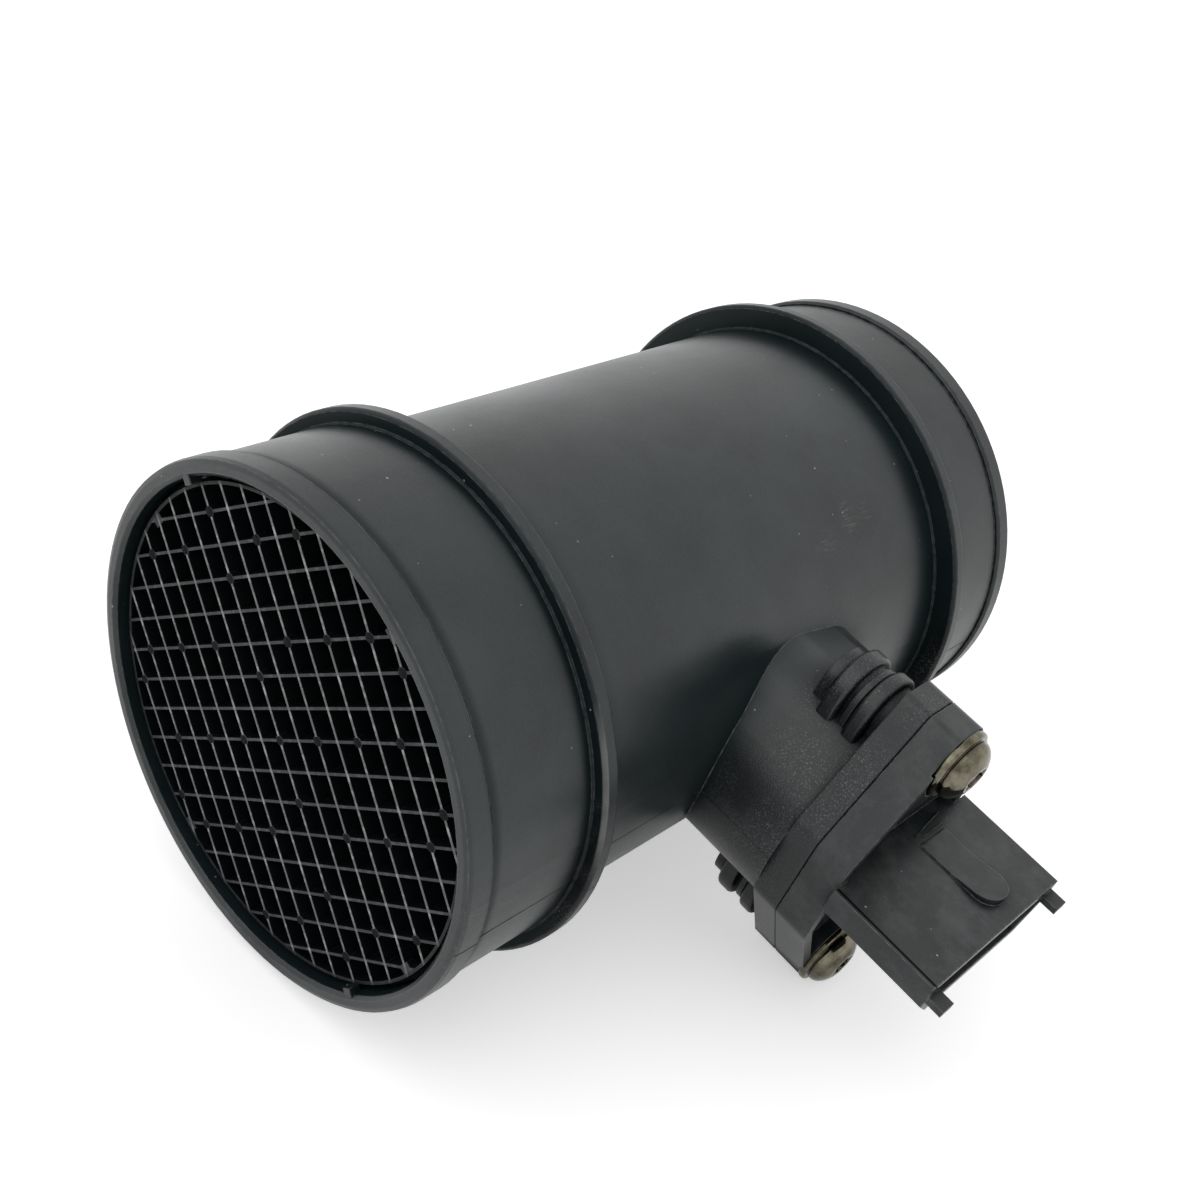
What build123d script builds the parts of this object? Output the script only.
from build123d import *
import os
from math import asin, atan2, cos, degrees, hypot, sin, radians

os.makedirs("parts", exist_ok=True)

# ---- driving dimensions, millimetres -------------------------------------------------------
# duct tube: y runs along the duct, y = 0 is the inlet mouth
duct_length = 121.0
bore_r = 32.4
tube_wall = 2.6
tube_r = bore_r + tube_wall        # long middle section, outside
rim_step = 2.5
rim_r = bore_r + rim_step          # counterbore that takes the grid
rim_wall = 1.8
inlet_r = rim_r + rim_wall         # hose section between inlet bead and first collar
bead_rise = 0.55
bead_r = inlet_r + bead_rise       # inlet bead
outlet_wall = 3.8
outlet_r = bore_r + outlet_wall    # hose section between second collar and outlet bead
back_bead_rise = 0.6
back_bead_r = outlet_r + back_bead_rise
bead_len = 4.3
back_bead_len = 3.6
collar_rise = 3.9
collar_r = tube_r + collar_rise    # the two collar discs, also what the part stands on
collar_t = 2.6
collar_y = (20.8, 100.6) # inlet-side faces of the collars
edge_round = 0.8
foot_round = 0.25        # at the foot of each collar

# inlet grid
grid_front = 1.7         # how far the bars sit behind the inlet mouth
grid_depth = 12.0
grid_pitch = 4.31
grid_half = 7            # bars each side of the middle one
grid_bar = 0.4
grid_lip_gap = 0.95
grid_ring_r = rim_r - grid_lip_gap  # thin front lip of the grid's ring
grid_ring_t = 0.45
grid_band_gap = 0.4      # the thicker band behind the lip stops this far from the counterbore
grid_band_step = 1.0
grid_fit = 0.05
tab_turns = (158.4, 68.4, -21.6, -111.6)  # snap tabs and corner webs, degrees from the sensor axis
tab_width = 2.6
tab_len = 2.4
web_in = 1.5             # how far a corner web reaches inwards from the lip
web_width = 2.0
web_len = 1.2
pad_r = 0.74             # ejector pads on the crossings
pad_len = 1.2
pad_rows = {7: (0,), 6: (-4, -2, 2, 4), 5: (0,), 3: (-6, -4, -2, 2, 4, 6), 2: (-7, 0, 7),
            0: (-6, -4, -2, 0, 2, 4, 6)}

# sensor station: h is measured from the duct axis along the sensor axis
sensor_y = 63.6
# plan of the boss: a smooth outline round three circles, each (a, b, radius)
boss_rounds = ((0, 0, 15.9), (0.8, 6.4, 12.2), (8.6, 11.2, 6.3))
boss_foot = 22.0
seam_h = 53.2            # joint face between housing and sensor
pad_t = 4.5
pad_h = seam_h - pad_t   # underside of the housing's flange pad
flange_t = 5.6
flange_h = seam_h + flange_t  # top of the sensor flange's rim
socket_r = 12.0          # bore the sensor neck plugs into
neck_fit = 0.08
screw_b = 21.8           # distance of each screw from the sensor axis
flange_over = 5.2        # how far the flange runs on past each screw
flange_len = screw_b + flange_over  # half length, along the screw line
flange_end = 2.9         # half width of its flat ends
flange_side = 15.0       # half width at the straight sides
flange_side_len = 7.3    # half length of the straight sides
key_corner = (13.6, 16.0)  # the one full corner that keys the flange
rim_t = 1.6
rim_drop = 2.2

# ribbed screw bosses: (bottom and top below the pad, end radius) of each fin
fins = ((10.7, 9.1, 4.5), (8.8, 6.1, 5.9), (5.3, 4.3, 5.2), (4.1, 1.6, 5.9))
fin_back = 2.1           # centre of the fins' round ends, inwards from the screw
fin_core_r = 4.1
fin_core_wall = 0.8      # between the screw hole and the bottom of the grooves

# screws
washer_r = 5.6
washer_t = 1.2
seat_h = flange_h - 0.5
head_r = 4.6
head_top_r = 2.9
head_h = 2.7
shank_r = 2.0
shank_len = 17.0
pilot_end = 1.5          # how much deeper its hole goes
pilot_fit = 0.05
clear_fit = 0.35
star_r = (1.95, 1.4)
star_depth = 1.7
star_pin_r = 0.5

# connector socket
plug_half = 16.4         # half width, along the duct
plug_near = 5.1          # face with the latch
plug_far = 3.9           # opposite face
plug_corner = 4.8        # keying chamfers on the far face
plug_len = 18.0          # how far the socket stands out of the flange
plug_tip = flange_h + plug_len
plug_depth = 14.8
plug_floor = plug_tip - plug_depth
plug_wall = 1.25
prong = (2.6, 1.1, 2.7)  # width, thickness, length of the two guide prongs
prong_b = 2.7
latch_a = (1.6, 7.8)
latch_back = (15.8, 10.3, 2.8)  # start of the strip, of its wedge and its round end, back from the tip
latch_h = [plug_tip - back for back in latch_back]
latch_step = 0.25
latch_rise = 1.3
blade = (2.8, 0.8)
blade_pitch = 5.0
blade_len = 20.5
blade_back = 6.3         # from the socket's tip
blade_h = (plug_tip - blade_back - blade_len, plug_tip - blade_back)
blade_count = 5

# neck, seal and probe
neck_len = 15.2
neck_end = seam_h - neck_len
seal_low = 9.2           # lower side of the seal's groove, below the seam
seal_gap = 2.8
seal_h = (seam_h - seal_low, seam_h - seal_low + seal_gap)
seal_t = 2.3
seal_high = 2.4
probe_a = 9.0            # half length along the flow
probe_b = 5.0            # half thickness
probe_tip = -6.0
nose_r = 3.2
lid_t = 1.4
lid_fit = 0.05
bay_roof = 2.0
bay = (7.0, 13.0, neck_end - bay_roof)  # half width, lower and upper end of the electronics bay
bay_floor = -2.0
bay_step = 0.8
channel = (-3.0, 4.0)    # bypass channel, low and high side
channel_floor = -2.0
loop_a = (-4.5, 4.5)     # measuring loop above the channel
loop_top = 10.0
plate_t = 1.0
board_t = 0.7
chip_size = (4.2, 4.2, 0.9)
cap_size = (1.6, 0.9, 0.8)
gel_t = 1.9
strip = (3.2, 0.7)       # film carrier, width and thickness
film = (2.0, 3.6, 0.35)
bead_size = (1.1, 2.6)   # thermistor bead, radius and length
lead_r = 0.3
lead_gap = 0.65
lead_a = 10.5
lead_end = 27.0

# ---- how it lies: on both collars and on the rim of the lower screw's washer ----------------
touch_h, touch_b = seat_h + washer_t - 0.3, screw_b + washer_r
tilt = degrees(asin(collar_r / hypot(touch_h, touch_b)) - atan2(touch_b, touch_h))
out = Vector(cos(radians(tilt)), 0, -sin(radians(tilt)))
station = Location(Plane(origin=(0, sensor_y, 0), x_dir=(0, 1, 0), z_dir=out))


def block(a, b, h):
    """Box between limits in the sensor frame: a along the duct, b across it, h outwards."""
    return Pos(sum(a) / 2, sum(b) / 2, sum(h) / 2) * Box(a[1] - a[0], b[1] - b[0], h[1] - h[0])


def prism(face, low, high):
    return extrude(Pos(0, 0, low) * face, high - low, dir=(0, 0, 1))


def rod(r, low, high, a=0.0, b=0.0):
    return prism(Pos(a, b) * Circle(r), low, high)


def spun(points):
    """Revolve (radius, y) points about the duct axis."""
    face = make_face(Polyline(*[(r, y) for r, y in points], close=True))
    return revolve(face, Axis.Y)


# ---- tube housing ---------------------------------------------------------------------------
c1, c2 = collar_y
back = duct_length - back_bead_len
seat_y = grid_front + grid_depth
e, f = edge_round, foot_round
profile = [(rim_r, 0.5), (rim_r + 0.5, 0), (bead_r - e, 0), (bead_r - 0.25 * e, 0.25 * e), (bead_r, e),
           (bead_r, bead_len - 0.5), (inlet_r, bead_len), (inlet_r, c1 - f), (inlet_r + f, c1),
           (collar_r - 0.5, c1), (collar_r, c1 + 0.5), (collar_r, c1 + collar_t - 0.5),
           (collar_r - 0.5, c1 + collar_t), (tube_r + f, c1 + collar_t), (tube_r, c1 + collar_t + f),
           (tube_r, c2 - f), (tube_r + f, c2), (collar_r - 0.5, c2), (collar_r, c2 + 0.5),
           (collar_r, c2 + collar_t - 0.5), (collar_r - 0.5, c2 + collar_t), (outlet_r, c2 + collar_t),
           (outlet_r, back - 0.5), (outlet_r - 0.2, back - 0.5), (outlet_r - 0.2, back),
           (back_bead_r - 0.4, back), (back_bead_r, back + 0.4), (back_bead_r, duct_length - e),
           (back_bead_r - e, duct_length), (bore_r + 1.0, duct_length), (bore_r, duct_length - 1.0),
           (bore_r, seat_y), (rim_r, seat_y)]
shell = spun(profile)

lozenge_points = [(-flange_end, flange_len), (-flange_side, flange_side_len), (-flange_side, -flange_side_len),
                  (-flange_end, -flange_len), (flange_end, -flange_len), (flange_side, -flange_side_len),
                  (flange_side, flange_side_len), key_corner, (flange_end, flange_len)]
lozenge = make_face(Polyline(*lozenge_points, close=True))
ends = lozenge.vertices().filter_by(lambda v: abs(v.Y) > flange_len - 1)
sides = lozenge.vertices().filter_by(lambda v: abs(v.Y) < flange_len - 1)
lozenge = fillet(ends, 1.8)
lozenge = fillet(lozenge.vertices().filter_by(lambda v: abs(abs(v.X) - flange_side) < 0.01), 3.0)


def lug(r, centre):
    """Plan of one fin: a round-ended tongue that leaves the boss on both sides along the screw line."""
    return Rot(0, 0, 90) * SlotCenterToCenter(2 * centre, 2 * r)


trunk = make_hull([edge for a, b, r in boss_rounds for edge in (Pos(a, b) * Circle(r)).edges()])
boss = prism(trunk, boss_foot, pad_h)
boss += prism(lozenge, pad_h, seam_h)
pilot_r = shank_r + pilot_fit
core_tip = screw_b + pilot_r + fin_core_wall
boss += prism(lug(fin_core_r, core_tip - fin_core_r), pad_h - fins[0][1], pad_h)
for low, high, r in fins:
    fin = prism(lug(r, screw_b - fin_back), pad_h - low, pad_h - high)
    if low - high > 2:
        fin = fillet(fin.faces().sort_by(Axis.Z)[-1].edges() + fin.faces().sort_by(Axis.Z)[0].edges(), 0.6)
    boss += fin
boss = chamfer(boss.faces().sort_by(Axis.Z)[-1].outer_wire().edges(), 0.3)

screw_spots = ((0, screw_b), (0, -screw_b))
housing = shell + station * boss
duct_air = Pos(0, duct_length / 2, 0) * Rot(90, 0, 0) * Cylinder(bore_r, duct_length - 2 * seat_y)
cuts = rod(socket_r, boss_foot, seam_h + 1)
cuts += Solid.make_cone(socket_r, socket_r + 1.2, 1.2, Plane.XY.offset(seam_h - 1.2))
for a, b in screw_spots:
    cuts += rod(pilot_r, seat_h - shank_len - pilot_end, seam_h + 1, a, b)
housing = housing - duct_air - station * cuts
tube_housing = housing

# ---- inlet grid -----------------------------------------------------------------------------
ring_r = grid_ring_r
lip_in = ring_r - grid_ring_t
span = [i * grid_pitch for i in range(-grid_half, grid_half + 1)]
bars = Sketch() + [Pos(s, 0) * Rectangle(grid_bar, 2 * ring_r) for s in span]
bars += [Pos(0, s) * Rectangle(2 * ring_r, grid_bar) for s in span]
lattice = (bars & Circle(ring_r - 0.2)) + (Circle(ring_r) - Circle(lip_in))
spots = [(c * grid_pitch, sign * row * grid_pitch) for row, cols in pad_rows.items() for c in cols
         for sign in ((1, -1) if row else (1,))]
pads = [Pos(x, y) * Circle(pad_r) for x, y in spots]
turns = [45 - t for t in tab_turns]
tabs = [Rot(0, 0, t) * Pos(rim_r - grid_fit - 0.5, 0) * Rectangle(1.4, tab_width) for t in turns]
webs = [Rot(0, 0, t) * Pos(ring_r - web_in / 2 - 0.2, 0) * Rectangle(web_in, web_width) for t in turns]
band = Circle(rim_r - grid_band_gap) - Circle(lip_in)
upright = extrude(lattice, grid_depth, dir=(0, 0, 1))
upright += extrude(Sketch() + pads, pad_len, dir=(0, 0, 1))
upright += extrude((Sketch() + webs) & Circle(ring_r - 0.1), web_len, dir=(0, 0, 1))
upright += extrude(Pos(0, 0, grid_band_step) * band, grid_depth - grid_band_step, dir=(0, 0, 1))
upright += extrude(Pos(0, 0, grid_band_step) * ((Sketch() + tabs) & Circle(rim_r - grid_fit)), tab_len,
                   dir=(0, 0, 1))
# local z of the lattice becomes +y of the duct; its squares lie diagonally to the sensor axis
grid_turn = Location(Plane(origin=(0, grid_front, 0), z_dir=(0, 1, 0),
                           x_dir=(cos(radians(tilt - 45)), 0, -sin(radians(tilt - 45)))))
inlet_grid = grid_turn * upright

# ---- sensor body ----------------------------------------------------------------------------
body = prism(lozenge, seam_h, flange_h)
moat = offset(lozenge, -rim_t)
for a, b in screw_spots:
    moat -= Pos(a, b) * Circle(washer_r + 0.5)
body = body - prism(moat, flange_h - rim_drop, flange_h + 1)
for a, b in screw_spots:
    body -= rod(washer_r + 0.3, seat_h, flange_h + 1, a, b)
    body -= rod(shank_r + clear_fit, seam_h - 1, flange_h + 1, a, b)

section = [(-plug_half, plug_near), (plug_half, plug_near), (plug_half, plug_corner - plug_far),
           (plug_half - plug_corner, -plug_far), (plug_corner - plug_half, -plug_far),
           (-plug_half, plug_corner - plug_far)]
plug_face = make_face(Polyline(*section, close=True))
plug = prism(plug_face, seam_h + 1.5, plug_tip)
plug -= prism(offset(plug_face, -plug_wall), plug_floor, plug_tip + 1)
for side in (1, -1):
    a = sorted((side * plug_half, side * (plug_half - prong[0])))
    plug += block(a, (prong_b - prong[1] / 2, prong_b + prong[1] / 2), (plug_floor + 2, plug_tip + prong[2]))
ramp = make_face(Polyline((plug_near - 0.3, latch_h[0]), (plug_near + latch_step, latch_h[0]),
                          (plug_near + latch_step, latch_h[1]), (plug_near + latch_rise, latch_h[2]),
                          (plug_near - 0.3, latch_h[2]), close=True))
ramp = extrude(Plane.YZ * ramp, latch_a[1] - latch_a[0], dir=(1, 0, 0))
mid_a, half_a = sum(latch_a) / 2, (latch_a[1] - latch_a[0]) / 2
tongue = Plane.XZ * (Pos(0, latch_h[0]) * Rectangle(2 * half_a, 2 * (latch_h[2] - latch_h[0] - half_a))
                     + Pos(0, latch_h[2] - half_a) * Circle(half_a))
tongue = extrude(tongue, 10, dir=(0, 1, 0))
plug += (Pos(latch_a[0], 0, 0) * ramp) & (Pos(mid_a, 0, 0) * tongue)
body += plug

neck_r = socket_r - neck_fit
gland_r = socket_r - neck_fit - seal_t + 0.1
body += rod(neck_r, neck_end, seam_h + 1)
body -= rod(neck_r + 1, *seal_h) - rod(gland_r, *seal_h)

probe = block((-probe_a, probe_a), (-probe_b, probe_b), (probe_tip, neck_end + 1))
nose = probe.edges().filter_by(Axis.Z).sort_by(Axis.X)[:2]
probe = fillet(nose, nose_r)
probe = fillet(probe.edges().filter_by(Axis.X).sort_by(Axis.Z)[:2], 1.5)
bw, b0, b1 = bay
lid_b = (probe_b - lid_t, probe_b + 1)
probe -= block((-bw, bw), (bay_floor, probe_b + 1), (b0, b1))
probe -= block((-bw - bay_step, bw + bay_step), lid_b, (b0 - bay_step, b1 + bay_step))
probe -= block((-probe_a - 1, probe_a + 1), (channel_floor, probe_b - lid_t), channel)
probe -= block(loop_a, (channel_floor, probe_b - lid_t), (channel[0], loop_top))
lid_low = (-bw - bay_step, bw + bay_step)
probe -= block(lid_low, lid_b, (channel[0] - 1.4, b0 - bay_step - 0.9))
slot_b = (bay_floor + plate_t, bay_floor + plate_t + strip[1])
probe -= block((-strip[0] / 2, strip[0] / 2), slot_b, (loop_top - 1, b0 + 1))
body += probe
leads = [rod(lead_r, lead_end, neck_end, -lead_a, s * lead_gap) for s in (1, -1)]

tops = [block((i * blade_pitch - blade[0] / 2, i * blade_pitch + blade[0] / 2),
              ((plug_near - plug_far - blade[1]) / 2, (plug_near - plug_far + blade[1]) / 2), blade_h)
        for i in (n - (blade_count - 1) / 2 for n in range(blade_count))]
blades = [chamfer(t.faces().sort_by(Axis.Z)[-1].edges(), 0.25) for t in tops]
for t in tops:
    body -= t
sensor_body = body

# ---- small pieces in the sensor frame -------------------------------------------------------
seal = Pos(0, 0, seal_h[0]) * revolve(
    Plane.XZ * fillet((Pos((gland_r + socket_r - 0.04) / 2, seal_high / 2)
                       * Rectangle(socket_r - 0.04 - gland_r - 0.04, seal_high)).vertices(), 0.7), Axis.Z)

dome = make_face(Polyline((0, seat_h), (washer_r, seat_h), (washer_r, seat_h + washer_t - 0.3),
                          (washer_r - 0.4, seat_h + washer_t), (head_r, seat_h + washer_t)) +
                 ThreePointArc((head_r, seat_h + washer_t), (head_r - 0.55, seat_h + washer_t + 0.55 * head_h),
                               (head_top_r, seat_h + washer_t + head_h)) +
                 Polyline((head_top_r, seat_h + washer_t + head_h), (0, seat_h + washer_t + head_h), (0, seat_h)))
dome = revolve(Plane.XZ * dome, Axis.Z)
star = Polyline(*[(star_r[i % 2] * cos(radians(30 * i)), star_r[i % 2] * sin(radians(30 * i))) for i in range(12)],
                close=True)
head_top = seat_h + washer_t + head_h
key = prism(make_face(star), head_top - star_depth, head_top + 1) - rod(star_pin_r, 0, head_top - 0.35)
one_screw = dome - key + rod(shank_r, seat_h - shank_len, seat_h + 0.5)
flange_screws = Compound([Pos(a, b) * one_screw for a, b in screw_spots])

g = lid_fit
plate_b = (bay_floor, bay_floor + plate_t)
base_plate = block((-bw + g, bw - g), plate_b, (b0 + g, b1 - g))
board_b = (plate_b[1], plate_b[1] + board_t)
circuit_board = block((-bw + 1, bw - 1), board_b, (b0 + 5, b1 - 1))
chip_h = (b0 + b1) / 2 + 4
signal_chip = block((-chip_size[0] / 2, chip_size[0] / 2), (board_b[1], board_b[1] + chip_size[2]),
                    (chip_h - chip_size[1] / 2, chip_h + chip_size[1] / 2))
cap_spots = [(x, h) for x in (-4.2, 4.2) for h in (chip_h - 5, chip_h, chip_h + 4)]
caps = [block((x - cap_size[0] / 2, x + cap_size[0] / 2), (board_b[1], board_b[1] + cap_size[2]),
              (h - cap_size[1] / 2, h + cap_size[1] / 2)) for x, h in cap_spots]
board_capacitors = Compound(caps)
film_carrier = block((-strip[0] / 2 + g, strip[0] / 2 - g), (slot_b[0], slot_b[1] - g), (0.5, b0 + 4.5))
film_chip = block((-film[0] / 2, film[0] / 2), (slot_b[1] - g, slot_b[1] - g + film[2]), (2.0, 2.0 + film[1]))
gel_fill = block((-bw + g, bw - g), (plate_b[1], plate_b[1] + gel_t), (b0 + g, b1 - g))
for piece in [circuit_board, signal_chip, film_carrier, *caps]:
    gel_fill -= piece
electronics_cover = block((-bw - bay_step + g, bw + bay_step - g), (probe_b - lid_t, probe_b),
                          (b0 - bay_step + g, b1 + bay_step - g))
channel_cover = block((lid_low[0] + g, lid_low[1] - g), (probe_b - lid_t, probe_b),
                      (channel[0] - 1.4 + g, b0 - bay_step - 0.9 - g))
cap_half = bead_size[0] / 2
air_thermistor = fillet(rod(bead_size[0], lead_end - bead_size[1], lead_end, -lead_a, 0)
                        .faces().sort_by(Axis.Z)[0].edges(), bead_size[0] * 0.8)
thermistor_leads = Compound(leads)

pieces = {"sensor_body": sensor_body, "neck_seal": seal, "flange_screws": flange_screws,
          "base_plate": base_plate, "circuit_board": circuit_board, "signal_chip": signal_chip,
          "board_capacitors": board_capacitors, "electronics_cover": electronics_cover, "gel_fill": gel_fill,
          "channel_cover": channel_cover, "film_carrier": film_carrier, "film_chip": film_chip,
          "air_thermistor": air_thermistor, "thermistor_leads": thermistor_leads}
for i, item in enumerate(blades):
    pieces[f"terminal_{i + 1}"] = item
pieces = {name: station * shape for name, shape in pieces.items()}
pieces["tube_housing"] = tube_housing
pieces["inlet_grid"] = inlet_grid

# ---- shift to the row frame: origin under the middle of the part, z = 0 on the floor --------
far_x = max(shape.bounding_box().max.X for shape in pieces.values())
rest = Pos(-(far_x - collar_r) / 2, -duct_length / 2, collar_r)
for name, shape in pieces.items():
    export_step(rest * shape, f"parts/{name}.step")
    box = (rest * shape).bounding_box()
    print(name, [round(v, 3) for v in (*box.min, *box.max)], "volume", round(shape.volume, 1))
print("tilt", round(tilt, 4), "shift", rest.position)
